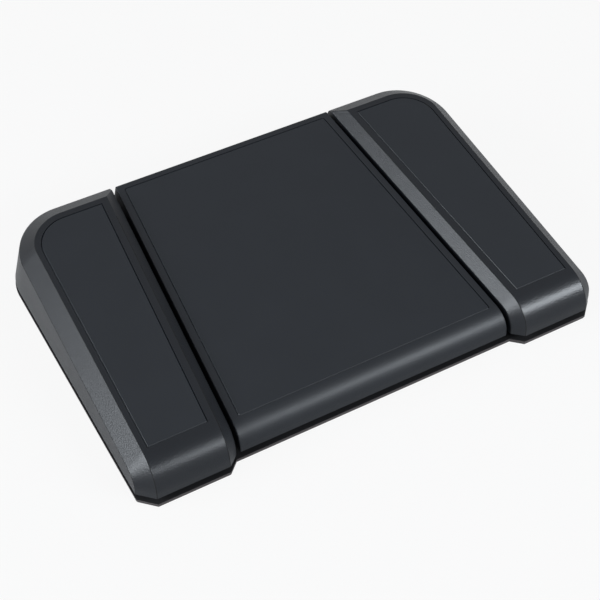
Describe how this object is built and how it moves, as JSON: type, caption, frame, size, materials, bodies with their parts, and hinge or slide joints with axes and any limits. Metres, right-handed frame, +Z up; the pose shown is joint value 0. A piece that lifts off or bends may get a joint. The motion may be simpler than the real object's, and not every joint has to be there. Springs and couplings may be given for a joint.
{
  "type": "usb foot pedal switch",
  "caption": "Foot switch with wedge-shaped pedals side by side on a flat steel base, each sprung and hinged at the rear over a snap-action switch, with a small data socket at the back.",
  "frame": {"origin": "centre of the base's underside, on the surface it stands on", "axes": "+X across the pedals to the user's right, +Y from the low near edge to the high rear, +Z up"},
  "size_m": [0.24, 0.18, 0.0445],
  "materials": {
    "shell_plastic": "dark blue-grey moulded plastic, fine satin texture",
    "pad_plastic": "dark blue-grey sheet with a fine texture",
    "mat_rubber": "black ribbed rubber",
    "plate_paint": "black powder coat",
    "stop_rubber": "black rubber",
    "zinc_steel": "zinc-plated steel",
    "spring_steel": "drawn spring wire",
    "nylon": "natural nylon",
    "switch_plastic": "black moulded plastic",
    "plunger_plastic": "red moulded plastic",
    "blade_brass": "stamped brass",
    "connector_plastic": "white moulded plastic",
    "lead_jacket": "black flexible jacket",
    "board_laminate": "green solder mask over laminate",
    "header_plastic": "black moulded plastic",
    "chip_plastic": "black moulded epoxy",
    "socket_metal": "plated sheet steel",
    "housing_plastic": "black moulded plastic"
  },
  "bodies": {
    "base": {"rubber_mat": "mat_rubber", "base_plate": "plate_paint", "bracket_screws": "zinc_steel", "retaining_rings": "zinc_steel", "down_stops": "stop_rubber", "up_stops": "stop_rubber", "switch_bracket_screws": "zinc_steel", "switch_screws": "zinc_steel", "control_board": "board_laminate", "board_spacers": "nylon", "board_screws": "zinc_steel", "board_headers": "header_plastic", "controller_chip": "chip_plastic", "board_small_parts": "chip_plastic", "usb_socket_shell": "socket_metal", "usb_socket_tongue": "header_plastic", "inlet_housing": "housing_plastic", "housing_screws": "zinc_steel", "lead_clips": "nylon", "left_hinge_bracket": "zinc_steel", "centre_left_hinge_bracket": "zinc_steel", "centre_right_hinge_bracket": "zinc_steel", "right_hinge_bracket": "zinc_steel", "left_hinge_pin": "zinc_steel", "centre_left_hinge_pin": "zinc_steel", "centre_right_hinge_pin": "zinc_steel", "right_hinge_pin": "zinc_steel", "left_return_spring": "spring_steel", "left_spring_seat": "nylon", "left_switch_body": "switch_plastic", "left_switch_blades": "blade_brass", "left_switch_bracket": "zinc_steel", "left_lead_connector": "connector_plastic", "left_switch_lead": "lead_jacket", "centre_return_spring": "spring_steel", "centre_spring_seat": "nylon", "centre_switch_body": "switch_plastic", "centre_switch_blades": "blade_brass", "centre_switch_bracket": "zinc_steel", "centre_lead_connector": "connector_plastic", "centre_switch_lead": "lead_jacket", "right_return_spring": "spring_steel", "right_spring_seat": "nylon", "right_switch_body": "switch_plastic", "right_switch_blades": "blade_brass", "right_switch_bracket": "zinc_steel", "right_lead_connector": "connector_plastic", "right_switch_lead": "lead_jacket"},
    "left_pedal": {"left_pedal_shell": "shell_plastic", "left_tread_pad": "pad_plastic"},
    "left_plunger": {"left_switch_plunger": "plunger_plastic"},
    "centre_pedal": {"centre_pedal_shell": "shell_plastic", "centre_tread_pad": "pad_plastic"},
    "centre_plunger": {"centre_switch_plunger": "plunger_plastic"},
    "right_pedal": {"right_pedal_shell": "shell_plastic", "right_tread_pad": "pad_plastic"},
    "right_plunger": {"right_switch_plunger": "plunger_plastic"}
  },
  "joints": [
    {"name": "left_pedal_hinge", "type": "hinge", "parent": "base", "child": "left_pedal", "pos_m": [0, 0.072, 0.0115], "axis": [1, 0, 0], "range_deg": [0, 0.9903], "stiffness_Nm_per_rad": 25, "springref_deg": -0.69, "deforming": ["left_return_spring"]},
    {"name": "centre_pedal_hinge", "type": "hinge", "parent": "base", "child": "centre_pedal", "pos_m": [0, 0.072, 0.0115], "axis": [1, 0, 0], "range_deg": [0, 0.9903], "stiffness_Nm_per_rad": 25, "springref_deg": -0.69, "deforming": ["centre_return_spring"]},
    {"name": "right_pedal_hinge", "type": "hinge", "parent": "base", "child": "right_pedal", "pos_m": [0, 0.072, 0.0115], "axis": [1, 0, 0], "range_deg": [0, 0.9903], "stiffness_Nm_per_rad": 25, "springref_deg": -0.69, "deforming": ["right_return_spring"]},
    {"name": "left_plunger_slide", "type": "slide", "parent": "base", "child": "left_plunger", "axis": [0, 0, -1], "range_m": [0, 0.0009]},
    {"name": "centre_plunger_slide", "type": "slide", "parent": "base", "child": "centre_plunger", "axis": [0, 0, -1], "range_m": [0, 0.0009]},
    {"name": "right_plunger_slide", "type": "slide", "parent": "base", "child": "right_plunger", "axis": [0, 0, -1], "range_m": [0, 0.0009]}
  ],
  "couplings": [
    {"joint": "left_plunger_slide", "follows": "left_pedal_hinge", "m_per_rad": 0.05},
    {"joint": "centre_plunger_slide", "follows": "centre_pedal_hinge", "m_per_rad": 0.05},
    {"joint": "right_plunger_slide", "follows": "right_pedal_hinge", "m_per_rad": 0.05}
  ]
}
